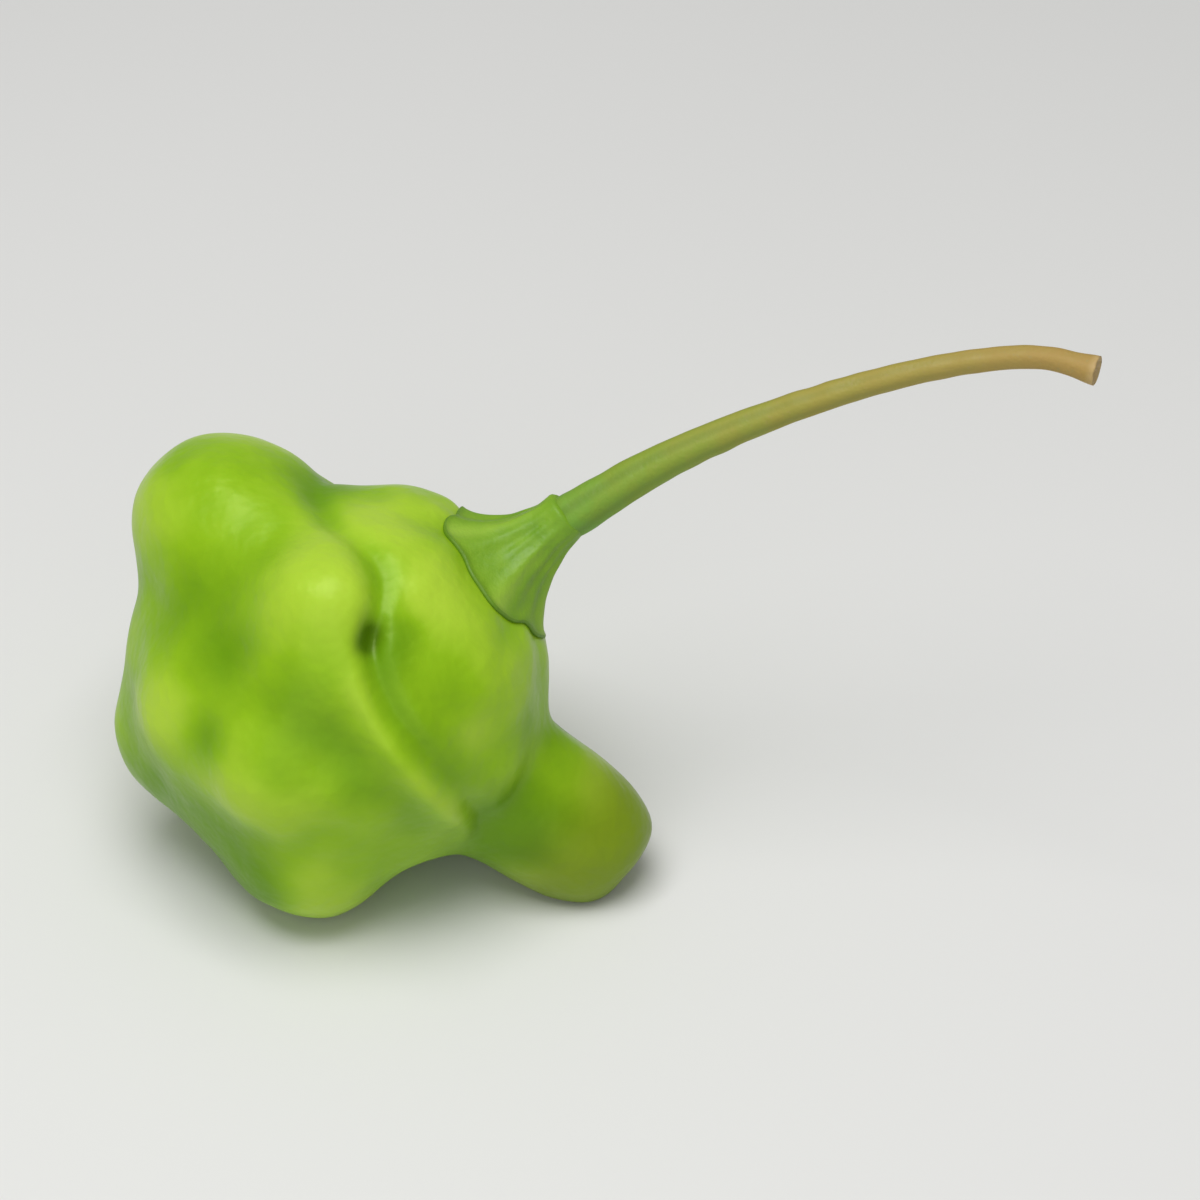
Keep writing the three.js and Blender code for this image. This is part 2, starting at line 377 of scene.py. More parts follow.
def smooth_max(distances, softness):
    """The largest distance, rounded where two meet: softness times log of the sum of exps."""
    stack = np.stack(distances)
    most = stack.max(0)
    return most + softness * np.log(np.exp((stack - most) / softness).sum(0))


def pod_distance(ways, softer=0.0):
    """Distance from the fruit's origin to the plain skin: crown and nose over brim and body."""
    brim = smooth_max([lobe_distance(ways, lobe) for lobe in BRIM_LOBES.values()], BRIM_BLEND)
    body = [lobe_distance(ways, lobe) for lobe in BODY_LOBES.values()]
    body = smooth_max([*body, loaf_distance(ways, CORE, CORE_WAVES)], BODY_BLEND)
    top = [lobe_distance(ways, lobe) for lobe in TOP_LOBES.values()]
    top = smooth_max([*top, loaf_distance(ways, CROWN, CROWN_WAVES)], TOP_BLEND + softer)
    low = smooth_max([brim, body], VALLEY_BLEND)
    distance = smooth_max([low, top], CREASE_BLEND + softer)
    return distance - sum(depth * bell(ways, *place) for *place, depth in HOLLOWS)


def bell(ways, azimuth, rise, half_width):
    """exp(-(angle / half width)^2) of the angle between each direction and one place."""
    angle = np.degrees(np.arccos(np.clip(ways @ way(azimuth, rise), -1, 1)))
    return np.exp(-(angle / half_width) ** 2)


def ring_mean(values, reach, axis=0):
    """A running mean round a closed ring of values, reach steps each way."""
    steps = range(-reach, reach + 1)
    return sum(np.roll(values, step, axis=axis) for step in steps) / len(steps)


def round_table(azimuth, places, column):
    """A column of the crease's table at each azimuth: straight between its places, then rounded
    by a running mean, a few times over."""
    degrees = np.arange(-180, 180)
    values = np.interp(degrees, places, column, period=360)
    for _ in range(CREASE_MEAN_PASSES):
        values = ring_mean(values, CREASE_MEAN_REACH)
    return np.interp(azimuth, degrees, values, period=360)


def crease(ways):
    """Shares of the crease's cut, exp(-(off / half width)^2), of its lip, a bell below it, and of
    the shade above it, where off is the rise above the crease's line."""
    azimuth = np.degrees(np.arctan2(ways[..., 1], ways[..., 0]))
    rise = np.degrees(np.arcsin(np.clip(ways[..., 2], -1, 1)))
    places, *columns = np.array(CREASE_LINE, float).T
    height, depth, lip = [round_table(azimuth, places, column) for column in columns]
    off = rise - height
    cut = np.exp(-(off / CREASE_HALF_WIDTH) ** 2)
    swell = np.exp(-((off + LIP_OFFSET) / LIP_HALF_WIDTH) ** 2)
    shade = np.exp(-((off - SHADE_OFFSET) / SHADE_HALF_WIDTH) ** 2)
    return depth * cut, lip * swell, depth * shade


def ripple(points, wavelength, count, seed):
    """Sum of plane sine waves of nearly one length in random directions, about -1 to 1."""
    draw = np.random.default_rng(seed)
    total = np.zeros(points.shape[:-1])
    for _ in range(count):
        heading = draw.normal(size=3)
        heading /= np.linalg.norm(heading)
        turns = 2 * math.pi / (wavelength * draw.uniform(*RIPPLE_SPREAD))
        total += np.sin(points @ heading * turns + draw.uniform(0, 2 * math.pi))
    return total / math.sqrt(count)


def fruit_turn():
    """The fruit's turn: its axis rises by PITCH towards YAW, and it is rolled about the axis by
    ROLL. Columns are the fruit's X, Y and Z in the row frame."""
    axis = way(YAW, PITCH)
    downhill = way(YAW, PITCH - 90)
    across = np.cross(axis, downhill)
    roll = math.radians(ROLL)
    nose = math.cos(roll) * downhill - math.sin(roll) * across
    return np.stack([nose, np.cross(axis, nose), axis], 1)


TURN = fruit_turn()
UP_IN_FRUIT = TURN.T @ np.array([0.0, 0.0, 1.0])


def press_flat(points, softness=0.0):
    """Points of the fruit that would sink below the surface are lifted onto it. With a softness
    the feet stay round: height = softness times log(1 + exp(height / softness))."""
    height = points @ UP_IN_FRUIT + REST_HEIGHT
    lifted = np.maximum(height, 0)
    if softness > 0:
        lifted = lifted + softness * np.log1p(np.exp(-np.abs(height) / softness))
    return points + (lifted - height)[..., None] * UP_IN_FRUIT


def sphere_ways(rings, spokes):
    """Directions on rings between the stem's pole and the blossom's, poles left out."""
    rise = 90 - 180 * np.arange(1, rings) / rings
    azimuth = 360 * np.arange(spokes) / spokes
    return way(azimuth[None, :], rise[:, None])


def fruit_place():
    """The fruit's origin in the row frame in metres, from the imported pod's box."""
    ways = sphere_ways(CAD_RINGS, CAD_SPOKES)
    coarse = press_flat(ways * pod_distance(ways)[..., None]) @ TURN.T
    coarse = coarse.reshape(-1, 3)
    low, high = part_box("pod")
    middle = (np.array(low) + np.array(high)) / 2
    place = middle - (coarse.min(0) + coarse.max(0)) / 2 * MM
    place[2] = low.z + REST_HEIGHT * MM
    return place


PLACE = fruit_place()


def to_row(points):
    """Row frame metres from fruit millimetres."""
    return points @ TURN.T * MM + PLACE


def ring_faces(rings, spokes):
    """Faces of a closed body: a fan at each pole and four-sided faces between the rings."""
    j = np.arange(spokes)
    k = (j + 1) % spokes
    last = 1 + rings * spokes
    first_fan = np.stack([np.zeros_like(j), 1 + j, 1 + k], 1)
    last_fan = np.stack([np.full_like(j, last), last - spokes + k, last - spokes + j], 1)
    upper = 1 + np.arange(rings - 1)[:, None] * spokes
    lower = upper + spokes
    sides = np.stack([upper + j, lower + j, lower + k, upper + k], -1).reshape(-1, 4)
    return first_fan.tolist() + sides.tolist() + last_fan.tolist()


def make_piece(name, node, slot, rings, values, material):
    """A smooth closed mesh from rings of points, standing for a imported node. The middle of the
    nearest ring closes each pole."""
    count, spokes = rings.shape[:2]
    points = np.vstack([rings[0].mean(0), rings.reshape(-1, 3), rings[-1].mean(0)])
    mesh = bpy.data.meshes.new(name)
    mesh.from_pydata(to_row(points).tolist(), [], ring_faces(count, spokes))
    mesh.polygons.foreach_set("use_smooth", [True] * len(mesh.polygons))
    for key, grid in values.items():
        flat = np.concatenate([[grid[0].mean()], grid.ravel(), [grid[-1].mean()]])
        attribute = mesh.attributes.new(key, "FLOAT", "POINT")
        attribute.data.foreach_set("value", flat.astype(np.float32))
    mesh.update()
    if mesh.validate():
        raise RuntimeError(f"{name} has faces that Blender had to repair")
    piece = bpy.data.objects.new(name, mesh)
    bpy.context.scene.collection.objects.link(piece)
    mesh.materials.append(material)
    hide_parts(node)
    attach(piece, BODY)


def set_inputs(tree, node, inputs):
    """Gives a node's inputs their values, or links them to other nodes' outputs."""
    for key, value in inputs.items():
        if isinstance(value, bpy.types.NodeSocket):
            tree.links.new(value, node.inputs[key])
        else:
            node.inputs[key].default_value = value


def add_node(tree, kind, output, settings=None, inputs=None, stops=()):
    """Adds a node with its settings and inputs, and gives one of its outputs. A colour ramp also
    gets its stops, each a position and a linear colour."""
    node = tree.nodes.new(kind)
    for key, value in (settings or {}).items():
        setattr(node, key, value)
    set_inputs(tree, node, inputs or {})
    if stops:
        elements = node.color_ramp.elements
        elements.remove(elements[-1])
        elements[0].position, elements[0].color = stops[0]
        for position, colour in stops[1:]:
            elements.new(position).color = colour
    return node.outputs[output]


def start_material(name):
    """A node material, its tree, its shader and the coordinates of the piece that wears it."""
    material = bpy.data.materials.new(name)
    material.use_nodes = True
    tree = material.node_tree
    shader = tree.nodes["Principled BSDF"]
    return material, tree, shader, add_node(tree, "ShaderNodeTexCoord", "Object")


def lay_colours(tree, colour, layers):
    """Lays colours over one another, each as strongly as the piece's value of that name says."""
    for name, over in layers:
        share = add_node(tree, "ShaderNodeAttribute", "Fac", {"attribute_name": name})
        inputs = {MIX_SHARE: share, MIX_UNDER: colour, MIX_OVER: over}
        colour = add_node(tree, "ShaderNodeMix", MIX_RESULT, MIX_COLOURS, inputs)
    return colour


def cloudy_relief(tree, place, layers):
    """Fine relief from layers of cloudy noise: each one's patch width, detail and depth, the
    width and the depth in millimetres."""
    inputs = {"Strength": 1.0}
    for width, detail, depth in layers:
        pattern = {"Vector": place, "Scale": 1 / (width * MM), "Detail": detail}
        inputs["Height"] = add_node(tree, "ShaderNodeTexNoise", "Fac", inputs=pattern)
        inputs["Distance"] = depth * MM
        inputs["Normal"] = add_node(tree, "ShaderNodeBump", "Normal", inputs=inputs)
    return inputs["Normal"]


def skin_material(settings):
    """Waxed pepper skin: a cuticle over pale flesh. The wax gives soft broad highlights, the
    flesh glows a little at the edges, and the colour holds painted shade in the folds and painted
    light on the high spots."""
    material, tree, shader, place = start_material("waxy pepper skin")
    cloud = add_node(tree, "ShaderNodeTexNoise", "Fac", inputs={
        "Vector": place, "Scale": 1 / settings.patch_size, "Detail": 3.0})
    fold = add_node(tree, "ShaderNodeAttribute", "Fac", {"attribute_name": "fold"})
    # Clouds add up to half a step of random tone to the painted shade of the folds.
    shade = add_node(
        tree, "ShaderNodeMath", "Value", {"operation": "MULTIPLY_ADD"},
        {0: cloud, 1: 0.5, 2: fold})
    shade = add_node(
        tree, "ShaderNodeMapRange", "Result", SMOOTH_RANGE,
        {"Value": shade, "From Min": 0.25, "From Max": 1.3, "To Min": 0.0, "To Max": 1.0})
    # The ramp paints light and shade: pale on the high spots, deep green in the folds and
    # hollows.
    colour = add_node(tree, "ShaderNodeValToRGB", "Color", inputs={"Fac": shade}, stops=(
        (0.0, tuple(settings.lit_ridge_colour)),
        (0.42, tuple(settings.side_colour)),
        (1.0, tuple(settings.shaded_fold_colour)),
    ))
    # The nose's green deepens with the painted shade.
    nose = add_node(tree, "ShaderNodeMix", MIX_RESULT, MIX_COLOURS, {
        MIX_SHARE: shade,
        MIX_UNDER: tuple(settings.nose_colour),
        MIX_OVER: tuple(settings.shaded_nose_colour),
    })
    colour = lay_colours(tree, colour, (
        ("olive", nose),
        # The pits' darkness is painted shade.
        ("pit", to_linear(PIT_SHADE_COLOUR)),
        ("scar", to_linear(SCAR_COLOUR)),
    ))
    wear = add_node(tree, "ShaderNodeTexNoise", "Fac", inputs={
        "Vector": place, "Scale": 1 / (4.0 * MM), "Detail": 4.0})
    wear = add_node(
        tree, "ShaderNodeMapRange", "Result", SMOOTH_RANGE,
        {"Value": wear, "From Min": 0.3, "From Max": 0.7, "To Min": 0.33, "To Max": 0.45})
    set_inputs(tree, shader, {
        "Base Color": colour,
        "Roughness": wear,
        # The skin's cells are too fine to show, so their orange-peel is drawn 0.7 mm wide. It
        # lies on soft dimples of about 3 mm.
        "Normal": cloudy_relief(tree, place, ((0.7, 1.0, 0.03), (2.8, 2.0, 0.22))),
        "IOR": 1.45,
        # The sheen is yellow-green, not white: most of it comes from just under the wax.
        "Specular Tint": to_linear(SHEEN_COLOUR),
        "Coat Weight": 0.08,
        "Coat Roughness": 0.25,
        "Subsurface Weight": 0.12,
        "Subsurface Radius": (0.6, 1.0, 0.25),
        "Subsurface Scale": 1.6 * MM,
    })
    return material


def calyx_material(settings):
    """Satin calyx skin: thicker and duller than the pod's, with paler ribs and painted shade
    along its rim.
    """
    material, tree, shader, place = start_material("satin calyx skin")
    cloud = add_node(tree, "ShaderNodeTexNoise", "Fac", inputs={
        "Vector": place, "Scale": 1 / (1.8 * MM), "Detail": 3.0})
    colour = add_node(tree, "ShaderNodeMix", MIX_RESULT, MIX_COLOURS, {
        MIX_SHARE: cloud,
        MIX_UNDER: tuple(settings.low_colour),
        MIX_OVER: tuple(settings.high_colour),
    })
    colour = lay_colours(tree, colour, (
        ("rib", tuple(settings.rib_colour)),
        # The rim's edge gets painted shade.
        ("edge", tuple(settings.rim_shade_colour)),
    ))
    wear = add_node(
        tree, "ShaderNodeMapRange", "Result", SMOOTH_RANGE,
        {"Value": cloud, "From Min": 0.3, "From Max": 0.7, "To Min": 0.42, "To Max": 0.6})
    set_inputs(tree, shader, {
        "Base Color": colour,
        "Roughness": wear,
        "Normal": cloudy_relief(tree, place, ((0.4, 2.0, 0.05),)),
        "IOR": 1.42,
        "Subsurface Weight": 0.1,
        "Subsurface Radius": (0.6, 1.0, 0.3),
        "Subsurface Scale": 1.0 * MM,
    })
    return material


def stem_material(settings):
    """Pepper stalk: green and supple at the calyx, drying to olive and tan with corky flecks."""
    material, tree, shader, place = start_material("drying pepper stalk")
    along = add_node(tree, "ShaderNodeAttribute", "Fac", {"attribute_name": "along"})
    cloud = add_node(tree, "ShaderNodeTexNoise", "Fac", inputs={
        "Vector": place, "Scale": 1 / (2.4 * MM), "Detail": 4.0})
    # Clouds shift the drying by up to 0.15 of the stem's length either way.
    dried = add_node(
        tree, "ShaderNodeMath", "Value", {"operation": "MULTIPLY_ADD"},
        {0: cloud, 1: 0.3, 2: along})
    dried = add_node(
        tree, "ShaderNodeMath", "Value", {"operation": "SUBTRACT"},
        {0: dried, 1: 0.15})
    colour = add_node(tree, "ShaderNodeValToRGB", "Color", inputs={"Fac": dried}, stops=(
        (0.0, tuple(settings.base_colour)),
        (0.18, tuple(settings.low_colour)),
        (0.5, tuple(settings.high_colour)),
        (1.0, tuple(settings.tip_colour)),
    ))
    # Corky flecks about 0.5 mm long, stronger towards the dried end.
    flecks = add_node(tree, "ShaderNodeTexNoise", "Fac", inputs={
        "Vector": place, "Scale": 1 / (0.5 * MM), "Detail": 2.0})
    flecks = add_node(
        tree, "ShaderNodeMapRange", "Result", SMOOTH_RANGE,
        {"Value": flecks, "From Min": 0.6, "From Max": 0.72, "To Min": 0.0, "To Max": 0.55})
    flecks = add_node(
        tree, "ShaderNodeMath", "Value", {"operation": "MULTIPLY"},
        {0: flecks, 1: along})
    colour = add_node(tree, "ShaderNodeMix", MIX_RESULT, MIX_COLOURS, {
        MIX_SHARE: flecks,
        MIX_UNDER: colour,
        MIX_OVER: to_linear(FLECK_COLOUR),
    })
    colour = lay_colours(tree, colour, (
        ("groove", to_linear(GROOVE_COLOUR)),
        ("cut", tuple(settings.cut_colour)),
    ))
    wear = add_node(
        tree, "ShaderNodeMapRange", "Result", SMOOTH_RANGE,
        {"Value": cloud, "From Min": 0.3, "From Max": 0.7, "To Min": 0.48, "To Max": 0.66})
    set_inputs(tree, shader, {
        "Base Color": colour,
        "Roughness": wear,
        "Normal": cloudy_relief(tree, place, ((0.35, 3.0, 0.06),)),
        "IOR": 1.42,
        "Subsurface Weight": 0.06,
        "Subsurface Radius": (0.6, 1.0, 0.3),
        "Subsurface Scale": 0.7 * MM,
    })
    return material


def floor_material(settings):
    """Matt studio board: pale, with no pattern to draw the eye, faintly uneven in its tone."""
    material, tree, shader, place = start_material("matt studio board")
    cloud = add_node(tree, "ShaderNodeTexNoise", "Fac", inputs={
        "Vector": place, "Scale": 1 / (120.0 * MM), "Detail": 1.0})
    cloud = add_node(
        tree, "ShaderNodeMapRange", "Result", SMOOTH_RANGE,
        {"Value": cloud, "From Min": 0.2, "From Max": 0.8, "To Min": 0.0, "To Max": 0.25})
    tone = add_node(tree, "ShaderNodeMix", MIX_RESULT, MIX_COLOURS, {
        MIX_SHARE: cloud,
        MIX_UNDER: tuple(settings.floor_colour),
        MIX_OVER: to_linear(FLOOR_SHADE_COLOUR),
    })
    set_inputs(tree, shader, {
        "Base Color": tone,
        "Roughness": 0.75,
        "Specular IOR Level": 0.2,
    })
    return material


def blurred(grid, reach, passes):
    """The grid smoothed along and across its rings, as a running mean repeated a few times. It
    goes round the rings, and repeats the end rings past the poles."""
    smooth = grid.copy()
    for _ in range(passes):
        padded = np.pad(ring_mean(smooth, reach, axis=1), ((reach, reach), (0, 0)), mode="edge")
        rows = range(2 * reach + 1)
        smooth = sum(padded[row:row + len(grid)] for row in rows) / len(rows)
    return smooth


def skin_distance(ways, settings):
    """Distance to the skin: plain lobes, less the crease and the dents, plus the lip, long and
    short ripples, and puckers, cos(count * azimuth + sway), that fan out from the calyx."""
    plain = pod_distance(ways, SKIN_SOFTER)
    points = ways * plain[..., None]
    cut, lip, _ = crease(ways)
    distance = plain + (settings.lip_height * lip - settings.crease_depth * cut) / MM
    distance -= sum(depth * bell(ways, *place) for *place, depth in DENTS)
    ripples = sum(share * ripple(points, *waves) for *waves, share in SKIN_RIPPLES)
    distance += settings.ripple_height / MM * ripples
    azimuth = np.arctan2(ways[..., 1], ways[..., 0])
    rise = np.degrees(np.arcsin(np.clip(ways[..., 2], -1, 1)))
    fan = np.exp(-((rise - PUCKER_RISE) / PUCKER_HALF_WIDTH) ** 2)
    puckers = np.cos(PUCKER_COUNT * azimuth + PUCKER_SWAY * np.sin(2 * azimuth))
    return distance + settings.pucker_depth / MM * fan * puckers


def pod_surface(settings):
    """The pod's skin with its pits, and the values that colour it: a fold is how far the skin
    lies below its blurred self and sets the painted shade, with the patches' painted shade and
    light and the crease's shaded strip, and the nose is olive by a sine that grows with its
    distance."""
    ways = sphere_ways(settings.rings, settings.spokes)
    distance = skin_distance(ways, settings)
    around = blurred(distance, settings.spokes // FOLD_BLUR_PARTS, FOLD_BLUR_PASSES)
    fold = (around - distance) / FOLD_HEIGHT
    # Painted shade and light: the patches, and the shaded strip above the crease.
    deeper = sum(share * bell(ways, *place) for *place, share in SHADE_AND_LIGHT_PATCHES)
    deeper += SHADE_SHARE * crease(ways)[2]
    # The pits get painted shade as well as their dent.
    pit = sum(bell(ways, *place) for *place, _ in PITS)
    *scar_place, scar_depth = BLOSSOM_SCAR
    scar = bell(ways, *scar_place)
    distance -= sum(depth * bell(ways, *place) for *place, depth in PITS) + scar_depth * scar
    olive = np.clip((distance - OLIVE_START) / OLIVE_LENGTH, 0, 1)
    olive *= np.sqrt(bell(ways, *NOSE_TIP, OLIVE_HALF_WIDTH))
    values = {
        "fold": np.clip(LEVEL_SHADE + FOLD_SHARE * fold + deeper, 0, 1),
        "olive": np.sin(np.pi / 2 * np.clip(OLIVE_GAIN * olive, 0, 1)) ** 2,
        "pit": np.clip(pit, 0, 1) ** PIT_SHARPNESS,
        "scar": np.clip(scar, 0, 1) ** SCAR_SHARPNESS,
    }
    return press_flat(ways * distance[..., None], settings.foot_softness / MM), values


def upright_rings(radius, height, spokes):
    """Rings round the fruit's axis: radius times the spokes' directions, and the height."""
    flat = radius[..., None] * spokes
    tall = np.broadcast_to(height[..., None], (*flat.shape[:-1], 1))
    return np.concatenate([flat, tall], -1)


def calyx_surface(settings, skin):
    """The calyx: flat on the neck, down the outside, round the rim and back under it.
    Outside, radius = neck + spread * (1 - s)^narrowing and height = rim + rest * s^lift,
    ribbed by the cosine of the teeth. Underneath it follows the pod's skin, a hair inside."""
    azimuth = 360 * np.arange(settings.spokes) / settings.spokes
    turn = np.radians(azimuth)
    spokes = np.stack([np.cos(turn), np.sin(turn)], -1)
    wave = np.cos(CALYX_TEETH * turn + CALYX_TOOTH_SWAY * np.sin(2 * turn))
    uneven = sum(share * np.sin(count * turn + phase) for count, share, phase in CALYX_RIM_WAVES)
    rim_angle = CALYX_RIM_ANGLE * (1 + CALYX_TOOTH_SHARE * wave + uneven)
    thickness = settings.rim_thickness / MM
    top = float(pod_distance(way(0, 90))) + CALYX_HEIGHT

    def on_crown(angle, clearance):
        ways = way(azimuth, 90 - angle)
        return ways * (skin_distance(ways, skin) + clearance)[..., None]

    # The flat end on the neck, with its shoulder rounded off.
    share = np.linspace(*CALYX_TOP_ROWS)[:, None]
    fall = CALYX_SHOULDER * (1 - np.sqrt(1 - share ** CALYX_SHOULDER_BLUNTNESS))
    neck = upright_rings(CALYX_NECK_RADIUS * share, top + CALYX_SHOULDER - fall, spokes)

    # The outside, from the neck down to the rim.
    under = on_crown(rim_angle, CALYX_SINK)
    over = on_crown(rim_angle, CALYX_SINK + thickness)
    share = np.linspace(1, 0, settings.rows)[:, None]
    rim_radius = np.hypot(over[:, 0], over[:, 1])
    radius = CALYX_NECK_RADIUS + (rim_radius - CALYX_NECK_RADIUS) * (1 - share) ** CALYX_NARROWING
    rib_count, rib_share, rib_phase = CALYX_FINE_RIBS
    ribs = wave + rib_share * np.cos(rib_count * turn + rib_phase)
    radius = radius + settings.rib_depth / MM * ribs * 4 * share * (1 - share)
    height = over[:, 2] + (top - over[:, 2]) * share ** CALYX_LIFT
    outside = upright_rings(radius, height, spokes)
    near_rim = np.clip(1 - share / CALYX_RIM_SHADE_HEIGHT, 0, 1) * np.ones_like(turn)
    ribbed = np.clip(wave, 0, 1) ** 2 * (1 - share)

    # The rim's rounded edge, and the underside back to the axis.
    angle = np.radians(np.linspace(*CALYX_RIM_ROWS))[:, None, None]
    outward = way(azimuth, -rim_angle)
    normal = way(azimuth, 90 - rim_angle)
    bulge = np.cos(angle) * outward + np.sin(angle) * normal
    rim = (under + over) / 2 + thickness / 2 * bulge
    below = on_crown(rim_angle * np.linspace(*CALYX_UNDER_ROWS)[:, None], CALYX_SINK)

    rings = np.concatenate([neck, outside, rim, below])
    rings = rings + ripple(rings, *CALYX_RIPPLE)[..., None] * np.array(CALYX_RIPPLE_SIZE)
    plain_neck, plain_rim, plain_below = [np.zeros(part.shape[:2]) for part in (neck, rim, below)]
    # The edge value is painted shade on the rim.
    edge = [plain_neck, CALYX_RIM_SHADE_STRENGTH * near_rim, plain_rim + 1, plain_below]
    rib = [plain_neck, CALYX_RIB_STRENGTH * ribbed, plain_rim, plain_below]
    return rings, {"edge": np.vstack(edge), "rib": np.vstack(rib)}


def knot_slope(before, knot, after, gap, next_gap):
    """The curve's slope at a knot: the slope from each side, added, less the slope from the knot
    before to the knot after."""
    return (knot - before) / gap - (after - before) / (gap + next_gap) + (after - knot) / next_gap


def smooth_line(knots, count):
    """Points at equal steps along the centripetal Catmull-Rom curve through the knots. Each
    stretch is a cubic from its two ends and the slopes there."""
    knots = np.array(knots, float)
    ends = np.vstack([2 * knots[0] - knots[1], knots, 2 * knots[-1] - knots[-2]])
    gaps = np.sqrt(np.linalg.norm(np.diff(ends, axis=0), axis=1))
    fine = np.linspace(0, 1, STEM_CURVE_STEPS)[:, None]
    stretches = []
    for i in range(len(knots) - 1):
        first, start, end, last = ends[i:i + 4]
        before, between, after = gaps[i:i + 3]
        leave = knot_slope(first, start, end, before, between) * between
        meet = knot_slope(start, end, last, between, after) * between
        bow = 3 * (end - start) - 2 * leave - meet
        bend = 2 * (start - end) + leave + meet
        stretch = start + leave * fine + bow * fine ** 2 + bend * fine ** 3
        stretches.append(stretch if i == 0 else stretch[1:])
    line = np.vstack(stretches)
    walked = np.concatenate([[0], np.cumsum(np.linalg.norm(np.diff(line, axis=0), axis=1))])
    steps = np.linspace(0, walked[-1], count)
    return np.stack([np.interp(steps, walked, line[:, i]) for i in range(3)], 1)


def stem_surface(settings):
    """The stem: sections square to its middle line, five soft ribs that turn slowly,
    radius = tip + (base - tip) * (1 - s)^taper + a knob at the cut, which is slightly hollow."""
    seat = float(pod_distance(way(0, 90)))
    line = smooth_line(STEM_LINE, settings.rows) + np.array([0, 0, seat])
    ahead = np.gradient(line, axis=0)
    ahead /= np.linalg.norm(ahead, axis=1)[:, None]
    side = np.cross(np.array([0.0, 1.0, 0.0]), ahead)
    side /= np.linalg.norm(side, axis=1)[:, None]
    other = np.cross(ahead, side)
    share = np.linspace(0, 1, settings.rows)[:, None]
    turn = 2 * math.pi * np.arange(settings.spokes)[None, :] / settings.spokes
    radius = STEM_TIP_RADIUS + (STEM_BASE_RADIUS - STEM_TIP_RADIUS) * (1 - share) ** STEM_TAPER
    radius = radius + STEM_KNOB * np.exp(-((1 - share) / STEM_KNOB_LENGTH) ** 2)
    radius = radius - STEM_PINCH * np.exp(-(share / STEM_PINCH_LENGTH) ** 2)
    sway = STEM_RIB_SWAY * np.sin(STEM_RIB_SWAYS * share)
    ribs = np.cos(STEM_RIBS * turn + STEM_RIB_TURN * share + sway)
    radius = radius * (1 + settings.rib_share * ribs * (1 - STEM_RIB_FADE * share))
    circle = np.cos(turn)[..., None] * side[:, None] + np.sin(turn)[..., None] * other[:, None]
    rings = line[:, None] + radius[..., None] * circle
    rings = rings + STEM_RIPPLE_HEIGHT * ripple(rings, *STEM_RIPPLE)[..., None] * circle
    # From here on, rings and values run from the tip down to the foot.
    rings = rings[::-1]
    along = np.broadcast_to(share, ribs.shape)[::-1]
    groove = (np.clip(-ribs, 0, 1) * STEM_GROOVE_STRENGTH * (1 - share))[::-1]
    reach = np.linspace(*STEM_CUT_ROWS)[:, None]
    ridges = STEM_CUT_RIDGE * np.sin(STEM_CUT_RIDGES * turn + STEM_CUT_LEAN * reach)
    relief = ridges - STEM_CUT_HOLLOW * (1 - reach ** 2)
    tip = line[-1]
    face = tip + (rings[0] - tip) * reach[..., None] + relief[..., None] * ahead[-1]
    ones = np.ones(face.shape[:2])
    cut = np.clip((along - STEM_CUT_START) / (1 - STEM_CUT_START), 0, 1)
    values = {
        "along": np.vstack([ones, along]),
        "groove": np.vstack([0 * ones, groove]),
        "cut": np.vstack([ones, cut]),
    }
    return np.vstack([face, rings]), values


class PodSettings(bpy.types.PropertyGroup):
    rings: IntProperty(
        name="Rings", description="Rows of points from stem to blossom end", default=200)
    spokes: IntProperty(name="Spokes", description="Points round each row", default=400)
    crease_depth: FloatProperty(
        name="Crease depth", description="Depth of the crease under the crown",
        default=0.95 * MM, unit="LENGTH")
    lip_height: FloatProperty(
        name="Lip height", description="Height of the lip along the crease's lower side",
        default=0.32 * MM, unit="LENGTH")
    foot_softness: FloatProperty(
        name="Foot softness", description="How gently the three resting spots are pressed flat",
        default=0.25 * MM, unit="LENGTH")
    ripple_height: FloatProperty(
        name="Ripple height", description="Height of the skin's long uneven waves",
        default=0.16 * MM, unit="LENGTH")
    pucker_depth: FloatProperty(
        name="Pucker depth", description="Depth of the small folds that fan out from the calyx",
        default=0.12 * MM, unit="LENGTH")
    patch_size: FloatProperty(
        name="Patch size", description="Width of the skin's paler and deeper patches",
        default=6.0 * MM, unit="LENGTH")
    lit_ridge_colour: FloatVectorProperty(
        name="Ridge colour", description="Skin on the high spots",
        default=to_linear("A9CB36"), size=4, subtype="COLOR")
    side_colour: FloatVectorProperty(
        name="Side colour", description="Skin between high spots and folds",
        default=to_linear("88B414"), size=4, subtype="COLOR")
    shaded_fold_colour: FloatVectorProperty(
        name="Fold colour", description="Skin in the folds",
        default=to_linear("629104"), size=4, subtype="COLOR")
    nose_colour: FloatVectorProperty(
        name="Nose colour", description="Skin at the end of the nose",
        default=to_linear("768F14"), size=4, subtype="COLOR")
    shaded_nose_colour: FloatVectorProperty(
        name="Deep nose colour", description="Skin in the hollows at the end of the nose",
        default=to_linear("4F6A05"), size=4, subtype="COLOR")


